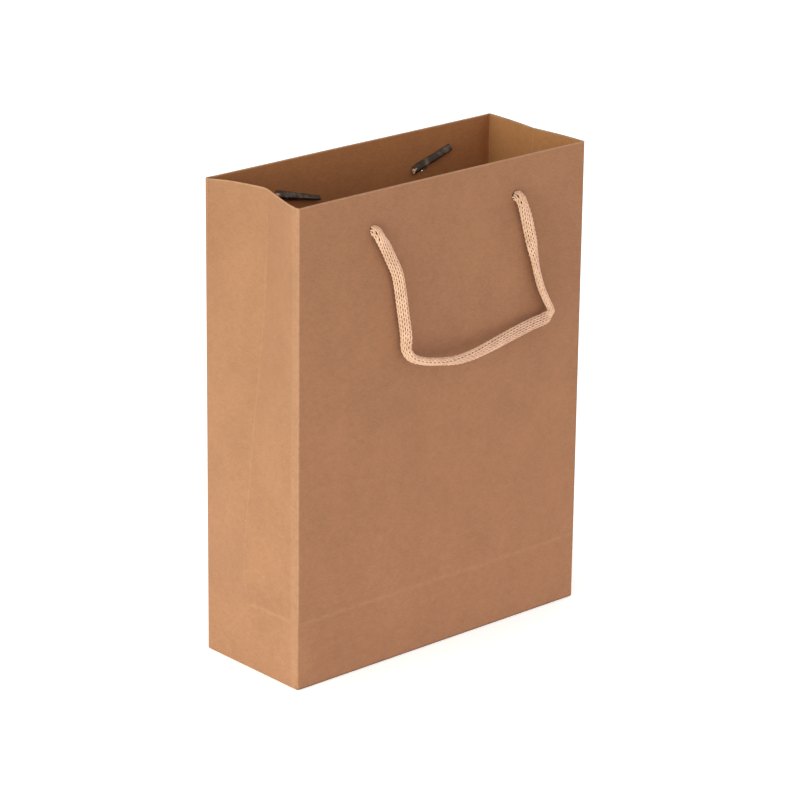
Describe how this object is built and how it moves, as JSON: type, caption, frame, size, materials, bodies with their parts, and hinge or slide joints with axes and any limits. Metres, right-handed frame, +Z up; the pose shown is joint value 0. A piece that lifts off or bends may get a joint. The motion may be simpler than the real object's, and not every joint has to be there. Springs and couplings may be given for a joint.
{
  "type": "paper gift bag",
  "caption": "Small upright kraft paper gift bag with folding gussets, a block bottom, a turned-in rim and two knitted cord handles held inside by barbs.",
  "frame": {"origin": "middle of the underside, where the open bag stands on a table", "axes": "+Z up from the underside to the rim, -Y out of the front panel, +X to the right as the front is seen"},
  "size_m": [0.21, 0.1015, 0.275],
  "materials": {
    "kraft_paper": "matte",
    "grey_card": "matte",
    "knitted_cord": "matte",
    "barb_metal": "satin"
  },
  "bodies": {
    "back_panel": {"back_panel": "kraft_paper", "back_rim_card": "grey_card", "back_left_cord_end": "knitted_cord", "back_right_cord_end": "knitted_cord"},
    "left_gusset_back": {"left_gusset_back_half": "kraft_paper"},
    "left_gusset_front": {"left_gusset_front_half": "kraft_paper"},
    "front_panel": {"front_panel": "kraft_paper", "front_rim_card": "grey_card", "front_left_cord_end": "knitted_cord", "front_right_cord_end": "knitted_cord"},
    "right_gusset_back": {"right_gusset_back_half": "kraft_paper", "side_seam_flap": "kraft_paper"},
    "right_gusset_front": {"right_gusset_front_half": "kraft_paper"},
    "bottom": {"bottom_front_flap": "kraft_paper", "bottom_back_flap": "kraft_paper", "bottom_left_end_flap": "kraft_paper", "bottom_right_end_flap": "kraft_paper", "base_board": "grey_card"},
    "left_bottom_triangle": {"left_bottom_triangle": "kraft_paper"},
    "right_bottom_triangle": {"right_bottom_triangle": "kraft_paper"},
    "front_lower_strip": {"front_lower_strip": "kraft_paper"},
    "left_front_corner": {"left_front_corner_triangle": "kraft_paper"},
    "right_front_corner": {"right_front_corner_triangle": "kraft_paper"},
    "front_handle": {"front_handle_cord": "knitted_cord"},
    "back_handle": {"back_handle_cord": "knitted_cord"},
    "front_left_barb": {"front_left_barb": "barb_metal"},
    "front_right_barb": {"front_right_barb": "barb_metal"},
    "back_left_barb": {"back_left_barb": "barb_metal"},
    "back_right_barb": {"back_right_barb": "barb_metal"}
  },
  "joints": [
    {"name": "bag_fold", "type": "hinge", "parent": "back_panel", "child": "left_gusset_back", "pos_m": [-0.10465, 0.03865, 0.1], "axis": [0, 0, 1], "range_deg": [0, 75], "deforming": ["front_lower_strip", "left_bottom_triangle", "right_bottom_triangle", "left_front_corner_triangle", "right_front_corner_triangle"]},
    {"name": "left_gusset_crease", "type": "hinge", "parent": "left_gusset_back", "child": "left_gusset_front", "pos_m": [-0.105, 0, 0.1], "axis": [0, 0, 1], "range_deg": [-165, 0]},
    {"name": "left_front_edge_fold", "type": "hinge", "parent": "left_gusset_front", "child": "front_panel", "pos_m": [-0.10465, -0.03865, 0.1], "axis": [0, 0, 1], "range_deg": [0, 82.5]},
    {"name": "right_back_edge_fold", "type": "hinge", "parent": "back_panel", "child": "right_gusset_back", "pos_m": [0.10465, 0.03865, 0.1], "axis": [0, 0, 1], "range_deg": [-82.5, 0]},
    {"name": "right_front_edge_fold", "type": "hinge", "parent": "front_panel", "child": "right_gusset_front", "pos_m": [0.10465, -0.03865, 0.1], "axis": [0, 0, 1], "range_deg": [0, 82.5]},
    {"name": "bottom_fold", "type": "hinge", "parent": "back_panel", "child": "bottom", "pos_m": [0, 0.03865, 0.00035], "axis": [-1, 0, 0], "range_deg": [0, 46.29]},
    {"name": "front_crease_fold", "type": "hinge", "parent": "front_panel", "child": "front_lower_strip", "pos_m": [0, -0.039, 0.039], "axis": [-1, 0, 0], "range_deg": [0, 121.45]},
    {"name": "left_end_fold", "type": "hinge", "parent": "bottom", "child": "left_bottom_triangle", "pos_m": [-0.10465, 0, 0.00035], "axis": [0, 1, 0], "range_deg": [0, 70.14]},
    {"name": "right_end_fold", "type": "hinge", "parent": "bottom", "child": "right_bottom_triangle", "pos_m": [0.10465, 0, 0.00035], "axis": [0, -1, 0], "range_deg": [0, 70.14]},
    {"name": "left_corner_fold", "type": "hinge", "parent": "front_lower_strip", "child": "left_front_corner", "pos_m": [-0.10465, -0.03865, 0.0195], "axis": [0, 0, 1], "range_deg": [-103.13, 0]},
    {"name": "right_corner_fold", "type": "hinge", "parent": "front_lower_strip", "child": "right_front_corner", "pos_m": [0.10465, -0.03865, 0.0195], "axis": [0, 0, 1], "range_deg": [0, 103.13]},
    {"name": "front_handle_swing", "type": "hinge", "parent": "front_panel", "child": "front_handle", "pos_m": [0, -0.043, 0.253], "axis": [-1, 0, 0], "range_deg": [0, 175]},
    {"name": "back_handle_swing", "type": "hinge", "parent": "back_panel", "child": "back_handle", "pos_m": [0, 0.043, 0.253], "axis": [1, 0, 0], "range_deg": [0, 175]},
    {"name": "front_left_barb_turn", "type": "hinge", "parent": "front_panel", "child": "front_left_barb", "pos_m": [0.0525, -0.0355, 0.253], "axis": [0, 1, 0], "range_deg": [-90, 90]},
    {"name": "front_right_barb_turn", "type": "hinge", "parent": "front_panel", "child": "front_right_barb", "pos_m": [-0.0525, -0.0355, 0.253], "axis": [0, 1, 0], "range_deg": [-90, 90]},
    {"name": "back_left_barb_turn", "type": "hinge", "parent": "back_panel", "child": "back_left_barb", "pos_m": [-0.0525, 0.0355, 0.253], "axis": [0, 1, 0], "range_deg": [-90, 90]},
    {"name": "back_right_barb_turn", "type": "hinge", "parent": "back_panel", "child": "back_right_barb", "pos_m": [0.0525, 0.0355, 0.253], "axis": [0, 1, 0], "range_deg": [-90, 90]}
  ],
  "couplings": [
    {"joint": "left_gusset_crease", "follows": "bag_fold", "ratio": -2},
    {"joint": "left_front_edge_fold", "follows": "bag_fold", "ratio": 1},
    {"joint": "right_back_edge_fold", "follows": "bag_fold", "ratio": -1},
    {"joint": "right_front_edge_fold", "follows": "bag_fold", "ratio": 1},
    {"joint": "bottom_fold", "follows": "bag_fold", "ratio": 0.56093},
    {"joint": "front_crease_fold", "follows": "bag_fold", "ratio": 1.472},
    {"joint": "left_end_fold", "follows": "bag_fold", "ratio": 0.85},
    {"joint": "right_end_fold", "follows": "bag_fold", "ratio": 0.85},
    {"joint": "left_corner_fold", "follows": "bag_fold", "ratio": -1.25},
    {"joint": "right_corner_fold", "follows": "bag_fold", "ratio": 1.25}
  ]
}
